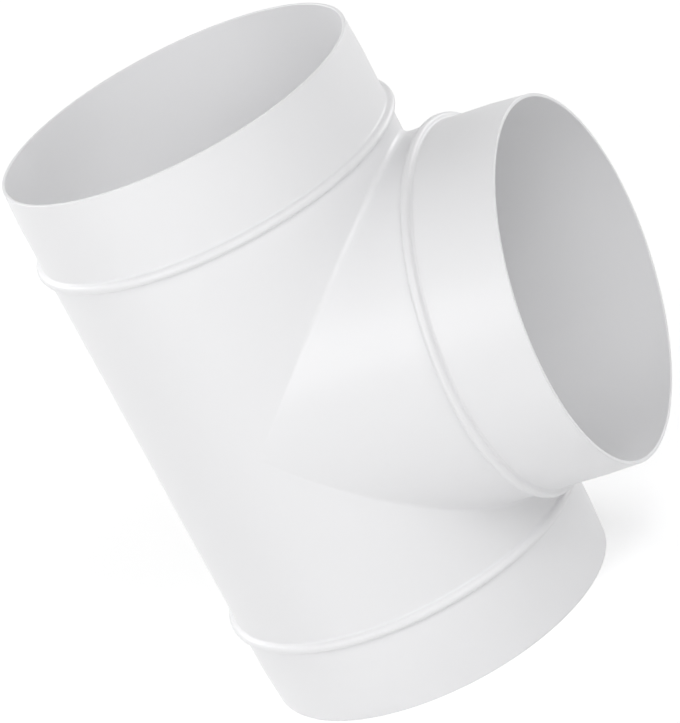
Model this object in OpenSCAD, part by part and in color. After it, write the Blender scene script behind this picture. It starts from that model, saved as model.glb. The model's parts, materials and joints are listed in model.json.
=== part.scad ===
// Equal tee for round ventilation duct: a straight run with a branch of the same size, moulded in one piece.
// Millimetres. The run stands upright on Z, with the middle of its lower rim at the origin.
// The branch points along +X, at half the height of the run.

/* [Tube] */
// Outside diameter of the body and of the straight part of each spigot
duct_d = 99; // [75:1:200]
// Thickness of the wall
wall = 1.5; // [1.3:0.1:3]

/* [Arms] */
// Length of each spigot, from the middle of its bead to its rim
spigot_length = 24.3; // [20:0.1:60]
// Straight stretch of the run, between the corner with the branch and a bead
run_neck = 6.7; // [4:0.1:40]
// Straight stretch of the branch, between the corner with the run and its bead
branch_neck = 7.7; // [4:0.1:40]

/* [Rims] */
// Length over which a spigot narrows towards its rim, so that a duct starts easily
lead_in = 10; // [4:0.5:14]
// How much smaller the radius is at the rim than at the straight part
rim_narrowing = 0.5; // [0.2:0.1:0.7]
// Radius of the rounded edges of a rim
rim_round = 0.25; // [0.1:0.05:0.25]

/* [Beads] */
// Radius of a bead's rounded crest, which is half its thickness
bead_round = 1.2; // [0.8:0.05:2]
// Radius of the hollow corner between a bead and the tube
bead_fillet = 0.65; // [0.2:0.05:1.5]

/* [Hidden] */
$fn = 180;

// Length of a cutter that stands out past the face it opens
past = 1;

tube_r = duct_d / 2;
bore_r = tube_r - wall;
rim_r = tube_r - rim_narrowing;

// From the crossing of the two axes to each rim
run_reach = tube_r + run_neck + spigot_length;
branch_reach = tube_r + branch_neck + spigot_length;

// Half the stretch of tube that a bead and its fillets take up
bead_foot = bead_round + bead_fillet;

// Outline of a bead that lies along the X axis: a round crest that runs into the tube by a fillet on each side
module bead_outline() {
    translate([0, bead_fillet]) circle(bead_round);
    difference() {
        polygon([
            [-bead_foot, -wall / 2],
            [bead_foot, -wall / 2],
            [bead_foot, bead_fillet],
            [-bead_foot, bead_fillet]
        ]);
        for (side = [-1, 1]) translate([side * bead_foot, bead_fillet]) circle(bead_fillet);
    }
}

// Half outline of a solid arm, from its rim on the X axis up to the crossing of the axes
module arm_outline(reach) {
    polygon([
        [0, 0],
        [rim_r - rim_round, 0],
        [rim_r, rim_round],
        [tube_r, lead_in],
        [tube_r, reach],
        [0, reach]
    ]);
    translate([rim_r - rim_round, rim_round]) circle(rim_round);
    translate([tube_r, spigot_length]) rotate(-90) bead_outline();
}

// Half outline of an arm's passage, with the rounded inner edge of the rim
module passage_outline(reach) {
    mouth_r = bore_r + rim_round;
    difference() {
        polygon([
            [0, -past],
            [mouth_r, -past],
            [mouth_r, rim_round],
            [bore_r, rim_round],
            [bore_r, reach],
            [0, reach]
        ]);
        translate([mouth_r, rim_round]) circle(rim_round);
    }
}

// Turns an outline that starts at a rim into an arm that reaches from the crossing in one direction
module arm(direction, reach) {
    rotate(direction) translate([0, 0, reach]) mirror([0, 0, 1]) rotate_extrude() children();
}

// The three arms: the run upwards, the run downwards and the branch
ARMS = [
    [[0, 0, 0], run_reach],
    [[180, 0, 0], run_reach],
    [[0, 90, 0], branch_reach]
];

module tee_body() color("white") translate([0, 0, run_reach]) difference() {
    union() for (a = ARMS) arm(a[0], a[1]) arm_outline(a[1]);
    for (a = ARMS) arm(a[0], a[1]) passage_outline(a[1]);
}

tee_body();
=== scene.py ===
import json
import math

import bpy
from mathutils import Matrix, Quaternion, Vector


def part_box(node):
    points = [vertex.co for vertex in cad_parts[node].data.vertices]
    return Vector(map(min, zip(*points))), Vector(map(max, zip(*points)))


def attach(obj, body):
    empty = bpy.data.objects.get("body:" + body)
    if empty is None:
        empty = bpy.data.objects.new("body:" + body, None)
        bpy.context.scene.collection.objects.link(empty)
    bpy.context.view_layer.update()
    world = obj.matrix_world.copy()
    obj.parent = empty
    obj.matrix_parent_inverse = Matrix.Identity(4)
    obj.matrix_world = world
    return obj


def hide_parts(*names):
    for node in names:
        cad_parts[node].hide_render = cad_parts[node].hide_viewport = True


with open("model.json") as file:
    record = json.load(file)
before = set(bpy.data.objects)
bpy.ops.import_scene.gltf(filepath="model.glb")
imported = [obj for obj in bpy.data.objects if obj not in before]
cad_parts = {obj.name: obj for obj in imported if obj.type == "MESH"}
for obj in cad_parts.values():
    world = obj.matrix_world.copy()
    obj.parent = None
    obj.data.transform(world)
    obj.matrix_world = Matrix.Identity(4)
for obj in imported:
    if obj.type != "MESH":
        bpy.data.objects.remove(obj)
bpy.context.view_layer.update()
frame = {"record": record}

MM = 0.001

# The moulding's sizes: the record and the solid's box give the outer ones
SPIGOT = next(m["dims"] for m in frame["record"]["mounts"] if m["name"] == "upper_spigot")
LOW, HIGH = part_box("tee_body")
TUBE_RADIUS = SPIGOT["r_mm"] * MM
RUN_REACH = HIGH.z / 2
BRANCH_REACH = HIGH.x
BEAD_HEIGHT = -LOW.x - TUBE_RADIUS
BEAD_ROUND = 1.2 * MM
WALL = 1.5 * MM
LEAD_IN = 10 * MM
RIM_NARROWING = 0.5 * MM
RIM_ROUND = 0.25 * MM
SPIGOT_LENGTH = LEAD_IN + SPIGOT["length_mm"] * MM + BEAD_HEIGHT

# What only the finished moulding has: the blend in the corner between run and branch, and its edge inside
CORNER_ROUND = 1.5 * MM
INNER_EDGE_ROUND = 0.6 * MM
LEAD_IN_ROUND = 60 * MM
CROSSING = Vector((0, 0, RUN_REACH))

# A row of points this far beside each arc keeps the shading of the straight parts straight
GUARD = 0.15 * MM

# The light that comes from all round, and what the floor adds to it as the camera sees it
ROOM_LIGHT = 0.236
FLOOR_LIFT = 0.3
FLOOR_WIDTH = 8.0


class Wire:
    """An output socket of a node. Sums written on wires add their Math nodes to the same tree."""

    def __init__(self, tree, socket):
        self.tree = tree
        self.socket = socket

    def math(self, operation, *values):
        return self.tree.add("ShaderNodeMath", {"operation": operation}, dict(enumerate(values)))

    def __add__(self, other):
        return self.math("ADD", self, other)

    __radd__ = __add__

    def __sub__(self, other):
        return self.math("SUBTRACT", self, other)

    def __rsub__(self, other):
        return self.math("SUBTRACT", other, self)

    def __mul__(self, other):
        return self.math("MULTIPLY", self, other)

    __rmul__ = __mul__

    def __truediv__(self, other):
        return self.math("DIVIDE", self, other)

    def __mod__(self, other):
        return self.math("FLOORED_MODULO", self, other)

    def __pow__(self, other):
        return self.math("POWER", self, other)

    def __neg__(self):
        return self.math("MULTIPLY", self, -1)

    def within(self, low, high):
        return self.math("MINIMUM", self.math("MAXIMUM", self, low), high)


class Tree:
    """A node tree that is written as expressions on wires."""

    def __init__(self, tree):
        self.tree = tree

    def add(self, kind, settings=None, sockets=None, out=None):
        """Adds a node: first its settings, then its sockets' values or links. Gives its first output, or the one
        of that name."""
        node = self.tree.nodes.new(kind)
        for name, value in (settings or {}).items():
            if name == "index_switch_items":
                for _ in range(value - len(node.index_switch_items)):
                    node.index_switch_items.new()
            else:
                setattr(node, name, value)
        open_inputs = [socket for socket in node.inputs if socket.enabled]
        for key, value in (sockets or {}).items():
            by_number = isinstance(key, int)
            target = open_inputs[key] if by_number else next(s for s in open_inputs if s.name == key)
            for item in value if isinstance(value, list) else [value]:
                if isinstance(item, Wire):
                    self.tree.links.new(item.socket, target)
                else:
                    target.default_value = item
        found = [socket for socket in node.outputs if socket.enabled and out in (None, socket.name)]
        return Wire(self, found[0]) if found else None

    def vector(self, x, y, z):
        return self.add("ShaderNodeCombineXYZ", {}, {"X": x, "Y": y, "Z": z})

    def parts(self, vector):
        return [self.add("ShaderNodeSeparateXYZ", {}, {"Vector": vector}, axis) for axis in ("X", "Y", "Z")]

    def sine(self, angle):
        return angle.math("SINE", angle)

    def cosine(self, angle):
        return angle.math("COSINE", angle)


TEE_SIZES = {
    "Tube Radius": TUBE_RADIUS,
    "Wall": WALL,
    "Run Reach": RUN_REACH,
    "Branch Reach": BRANCH_REACH,
    "Spigot Length": SPIGOT_LENGTH,
    "Lead In": LEAD_IN,
    "Rim Narrowing": RIM_NARROWING,
    "Rim Round": RIM_ROUND,
    "Bead Height": BEAD_HEIGHT,
    "Bead Round": BEAD_ROUND,
    "Lead In Round": LEAD_IN_ROUND,
    "Corner Round": CORNER_ROUND,
    "Inner Edge Round": INNER_EDGE_ROUND,
    "Guard": GUARD,
}
TEE_COUNTS = {"Segments": 240, "Arc Steps": 6, "Corner Steps": 8, "Neck Rows": 12}


def wall_outline(tree, size):
    """One arm's wall as a curve, with the radius on X and the distance from the rim on Z. It runs over the bead,
    the straight part and the lead-in, and round the rim to the inside."""
    tube = size["Tube Radius"]
    bore = tube - size["Wall"]
    rim = tube - size["Rim Narrowing"]
    crest = tube + size["Bead Height"]
    fillet = size["Bead Height"] - size["Bead Round"]
    upper_flank = size["Spigot Length"] + size["Bead Round"]
    lower_flank = size["Spigot Length"] - size["Bead Round"]
    guard = size["Guard"]
    rim_guard = size["Rim Round"] + guard
    rim_guard_radius = rim + size["Rim Narrowing"] * rim_guard / size["Lead In"]
    corners = [
        (upper_flank + fillet + guard, tube, 0.0),
        (upper_flank, tube, fillet),
        (upper_flank, crest, size["Bead Round"]),
        (lower_flank, crest, size["Bead Round"]),
        (lower_flank, tube, fillet),
        (lower_flank - fillet - guard, tube, 0.0),
        (size["Lead In"], tube, size["Lead In Round"]),
        (rim_guard, rim_guard_radius, 0.0),
        (0.0, rim, size["Rim Round"]),
        (0.0, bore, size["Rim Round"]),
        (rim_guard, bore, 0.0),
    ]
    index = tree.add("GeometryNodeInputIndex")
    places = {str(n): tree.vector(radius, 0.0, distance) for n, (distance, radius, _) in enumerate(corners)}
    rounds = {str(n): rounding for n, (_, _, rounding) in enumerate(corners)}
    place_choice = {"data_type": "VECTOR", "index_switch_items": len(corners)}
    round_choice = {"data_type": "FLOAT", "index_switch_items": len(corners)}
    place = tree.add("GeometryNodeIndexSwitch", place_choice, {"Index": index, **places})
    rounding = tree.add("GeometryNodeIndexSwitch", round_choice, {"Index": index, **rounds})
    line = tree.add("GeometryNodeMeshLine", {}, {"Count": len(corners)})
    line = tree.add("GeometryNodeSetPosition", {}, {"Geometry": line, "Position": place})
    line = tree.add("GeometryNodeMeshToCurve", {}, {"Mesh": line})
    return tree.add(
        "GeometryNodeFilletCurve",
        {"mode": "POLY"},
        {"Curve": line, "Count": size["Arc Steps"], "Radius": rounding, "Limit Radius": True},
    )


def grid(tree, columns, rows):
    """A grid of points, with each point's column and row."""
    mesh = tree.add("GeometryNodeMeshGrid", {}, {"Vertices X": columns, "Vertices Y": rows})
    index = tree.add("GeometryNodeInputIndex")
    row = index % rows
    return mesh, (index - row) / rows, row


def arm(tree, size, outline, contact_share, reach, turned):
    """The wall of one arm, as a tube from its corner with the other arms, round the rim and back inside.
    contact_share says how far along the arm that corner lies, in radii, at each angle round it."""
    curve = {"component": "CURVE"}
    points = tree.add("GeometryNodeAttributeDomainSize", curve, {"Geometry": outline}, "Point Count")
    rows = points + size["Neck Rows"] * 2
    mesh, column, row = grid(tree, size["Segments"] + 1, rows)
    angle = column / size["Segments"] * math.tau
    step = row - size["Neck Rows"]
    position = tree.add("GeometryNodeInputPosition")
    at = tree.add(
        "GeometryNodeSampleIndex",
        {"data_type": "FLOAT_VECTOR", "domain": "POINT", "clamp": True},
        {"Geometry": outline, "Value": position, "Index": step},
    )
    radius, _, from_rim = tree.parts(at)
    inside = (step - points + 1).within(0.0, 1.0)
    corner_round = size["Corner Round"] + inside * (size["Inner Edge Round"] - size["Corner Round"])
    corner = contact_share(tree.cosine(angle)) * (radius + corner_round)
    before_outline = (-step / size["Neck Rows"]).within(0.0, 1.0)
    past_outline = ((step - points + 1) / size["Neck Rows"]).within(0.0, 1.0)
    straight = reach - from_rim
    height = corner + (straight - corner) * (1 - (before_outline + past_outline)) ** 2
    place = turned(radius * tree.cosine(angle), radius * tree.sine(angle), height)
    return tree.add("GeometryNodeSetPosition", {}, {"Geometry": mesh, "Position": tree.vector(*place)})


def corner_blend(tree, size, radius, rounding, outside, turned):
    """The rounded corner where two arms of one radius meet: a strip that narrows to nothing at both ends."""
    columns = size["Segments"] / 2
    mesh, column, row = grid(tree, columns + 1, size["Corner Steps"] + 1)
    angle = (column / columns - 0.5) * math.pi
    across = row / size["Corner Steps"]
    if outside:
        across = 1 - across
    arc = (across + 2) * (math.pi / 2)
    lean = tree.cosine(angle)
    x = lean * (radius + rounding * (1 + tree.cosine(arc)))
    z = lean * (radius + rounding * (1 + tree.sine(arc)))
    place = turned(x, radius * tree.sine(angle), z)
    return tree.add("GeometryNodeSetPosition", {}, {"Geometry": mesh, "Position": tree.vector(*place)})


def branch_side(cosine):
    """Where a half of the run ends: along its corner with the branch, and elsewhere on the run's other half."""
    return cosine.math("MAXIMUM", cosine, 0.0)


def both_sides(cosine):
    """Where the branch ends: on the upper half of the run and, the same, on the lower half."""
    return cosine.math("ABSOLUTE", cosine)


def upwards(x, y, z):
    return x, y, z


def downwards(x, y, z):
    return x, -y, -z


def outwards(x, y, z):
    return z, -y, x


def tee_tree(material):
    """Builds the moulding from its sizes: three arms of one outline, and the blends where they meet."""
    group = bpy.data.node_groups.new("duct tee", "GeometryNodeTree")
    group.is_modifier = True
    for name, value in {**TEE_SIZES, **TEE_COUNTS}.items():
        kind = "NodeSocketInt" if name in TEE_COUNTS else "NodeSocketFloat"
        group.interface.new_socket(name, in_out="INPUT", socket_type=kind).default_value = value
    group.interface.new_socket("Geometry", in_out="OUTPUT", socket_type="NodeSocketGeometry")
    tree = Tree(group)
    inputs = group.nodes.new("NodeGroupInput")
    size = {socket.name: Wire(tree, socket) for socket in inputs.outputs if socket.name}
    bore = size["Tube Radius"] - size["Wall"]
    outline = wall_outline(tree, size)
    shells = [
        arm(tree, size, outline, branch_side, size["Run Reach"], upwards),
        arm(tree, size, outline, branch_side, size["Run Reach"], downwards),
        arm(tree, size, outline, both_sides, size["Branch Reach"], outwards),
    ]
    for turned in (upwards, downwards):
        shells.append(corner_blend(tree, size, size["Tube Radius"], size["Corner Round"], True, turned))
        shells.append(corner_blend(tree, size, bore, size["Inner Edge Round"], False, turned))
    whole = tree.add("GeometryNodeJoinGeometry", {}, {"Geometry": shells})
    whole = tree.add("GeometryNodeMergeByDistance", {}, {"Geometry": whole, "Distance": MM / 1000})
    lift = tree.vector(0.0, 0.0, size["Run Reach"])
    whole = tree.add("GeometryNodeSetPosition", {}, {"Geometry": whole, "Offset": lift})
    whole = tree.add("GeometryNodeSetShadeSmooth", {}, {"Geometry": whole, "Shade Smooth": True})
    whole = tree.add("GeometryNodeRealizeInstances", {}, {"Geometry": whole})
    whole = tree.add("GeometryNodeSetMaterial", {}, {"Geometry": whole, "Material": material})
    ending = group.nodes.new("NodeGroupOutput")
    group.links.new(whole.socket, ending.inputs["Geometry"])
    return group


def grown(name, group, values):
    """Runs a geometry tree with these values and keeps its result as a plain mesh."""
    piece = bpy.data.objects.new(name, bpy.data.meshes.new(name))
    bpy.context.scene.collection.objects.link(piece)
    modifier = piece.modifiers.new(name, "NODES")
    modifier.node_group = group
    for item in group.interface.items_tree:
        if item.name in values:
            modifier[item.identifier] = values[item.name]
    graph = bpy.context.evaluated_depsgraph_get()
    mesh = bpy.data.meshes.new_from_object(piece.evaluated_get(graph))
    piece.modifiers.clear()
    piece.data = mesh
    return piece


def new_material(name):
    material = bpy.data.materials.new(name)
    material.use_nodes = True
    material.node_tree.nodes.clear()
    return material, Tree(material.node_tree)


def white_plastic():
    """White moulding with a soft sheen that varies a little over the part, and a fine grain from its mould."""
    material, tree = new_material("white plastic")
    place = tree.add("ShaderNodeTexCoord", out="Object")
    clouds = tree.add("ShaderNodeTexNoise", {}, {"Vector": place, "Scale": 18.0, "Detail": 2.0})
    grain = tree.add("ShaderNodeTexNoise", {}, {"Vector": place, "Scale": 1500.0, "Detail": 2.0})
    waves = tree.add("ShaderNodeTexNoise", {}, {"Vector": place, "Scale": 60.0, "Detail": 1.0})
    colour = tree.add(
        "ShaderNodeMix",
        {"data_type": "RGBA"},
        {"Factor": clouds, "A": (0.83, 0.83, 0.84, 1), "B": (0.85, 0.85, 0.86, 1)},
    )
    relief = grain * 0.006 + waves * 0.05
    normal = tree.add("ShaderNodeBump", {}, {"Height": relief, "Strength": 1.0, "Distance": MM})
    shader = tree.add(
        "ShaderNodeBsdfPrincipled",
        {},
        {"Base Color": colour, "Roughness": clouds * 0.08 + 0.32, "Normal": normal, "IOR": 1.48},
    )
    tree.add("ShaderNodeOutputMaterial", {}, {"Surface": shader})
    return material


def white_share(tree):
    """1 for a ray from the camera or from a shiny or clear surface, which sees white all round, or else 0."""
    camera_ray = tree.add("ShaderNodeLightPath", out="Is Camera Ray")
    glossy_ray = tree.add("ShaderNodeLightPath", out="Is Glossy Ray")
    clear_ray = tree.add("ShaderNodeLightPath", out="Is Transmission Ray")
    return (camera_ray + glossy_ray + clear_ray).within(0.0, 1.0)


def pale_floor():
    """A floor that comes out white to the eye, and less so where the part shades it."""
    material, tree = new_material("pale floor")
    plain = tree.add("ShaderNodeBsdfDiffuse", {}, {"Color": (0.9, 0.9, 0.9, 1)})
    glow = white_share(tree) * FLOOR_LIFT
    lift = tree.add("ShaderNodeEmission", {}, {"Color": (1, 1, 1, 1), "Strength": glow})
    shader = tree.add("ShaderNodeAddShader", {}, {0: plain, 1: lift})
    tree.add("ShaderNodeOutputMaterial", {}, {"Surface": shader})
    mesh = bpy.data.meshes.new("floor")
    half = FLOOR_WIDTH / 2
    corners = [(-half, -half, 0), (half, -half, 0), (half, half, 0), (-half, half, 0)]
    mesh.from_pydata(corners, [], [(0, 1, 2, 3)])
    mesh.materials.append(material)
    floor = bpy.data.objects.new("floor", mesh)
    bpy.context.scene.collection.objects.link(floor)


def white_room():
    """A world that looks white and lights the part softly from all sides."""
    world = bpy.data.worlds.new("white room")
    world.use_nodes = True
    world.node_tree.nodes.clear()
    tree = Tree(world.node_tree)
    light = tree.add("ShaderNodeBackground", {}, {"Color": (1, 1, 1, 1), "Strength": ROOM_LIGHT})
    white = tree.add("ShaderNodeBackground", {}, {"Color": (1, 1, 1, 1), "Strength": 1.0})
    sky = tree.add("ShaderNodeMixShader", {}, {0: white_share(tree), 1: light, 2: white})
    tree.add("ShaderNodeOutputWorld", {}, {"Surface": sky})
    bpy.context.scene.world = world


def direction(azimuth, elevation):
    """From the part, azimuth turns from +X towards +Y, in degrees."""
    a = math.radians(azimuth)
    e = math.radians(elevation)
    return Vector((math.cos(a) * math.cos(e), math.sin(a) * math.cos(e), math.sin(e)))


def softbox(name, azimuth, elevation, distance=1.6, width=0.9, power=5.0):
    """A square soft lamp that faces the crossing of the axes."""
    lamp = bpy.data.lights.new(name, "AREA")
    lamp.shape = "SQUARE"
    lamp.size = width
    lamp.energy = power
    holder = bpy.data.objects.new(name, lamp)
    towards = direction(azimuth, elevation)
    holder.location = CROSSING + towards * distance
    holder.rotation_mode = "QUATERNION"
    holder.rotation_quaternion = towards.to_track_quat("Z", "Y")
    holder.visible_camera = False
    bpy.context.scene.collection.objects.link(holder)


def camera():
    """The photograph's viewpoint: a long lens that leans, so that the standing run slants to the left."""
    aim = CROSSING + Vector((6.90, 2.23, -3.14)) * MM
    azimuth, elevation, lean = -62.493, 21.078, 27.688
    distance, lens = 1.06834, 202.83
    back = direction(azimuth, elevation)
    data = bpy.data.cameras.new("camera")
    data.lens = lens
    data.sensor_width = 36
    data.clip_start = 0.05
    data.clip_end = 50
    holder = bpy.data.objects.new("camera", data)
    holder.location = aim + back * distance
    holder.rotation_mode = "QUATERNION"
    level = (-back).to_track_quat("-Z", "Y")
    holder.rotation_quaternion = level @ Quaternion((0, 0, 1), -math.radians(lean))
    bpy.context.scene.collection.objects.link(holder)
    bpy.context.scene.camera = holder


camera()
pale_floor()
white_room()
softbox("key right", -30, 35, power=6.7)
softbox("key left", -60, 35, power=4.6)
softbox("sheen", -112, 22, distance=0.75, width=0.4, power=1.36)
softbox("left fill", -150, 35, power=3.1)
softbox("back fill", 150, 35, power=9.7)
softbox("right fill", 60, 5, power=9.9)
tee = grown("duct_tee", tee_tree(white_plastic()), {**TEE_SIZES, **TEE_COUNTS})
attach(tee, "root")
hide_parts("tee_body")
bpy.context.scene.view_settings.view_transform = "Standard"
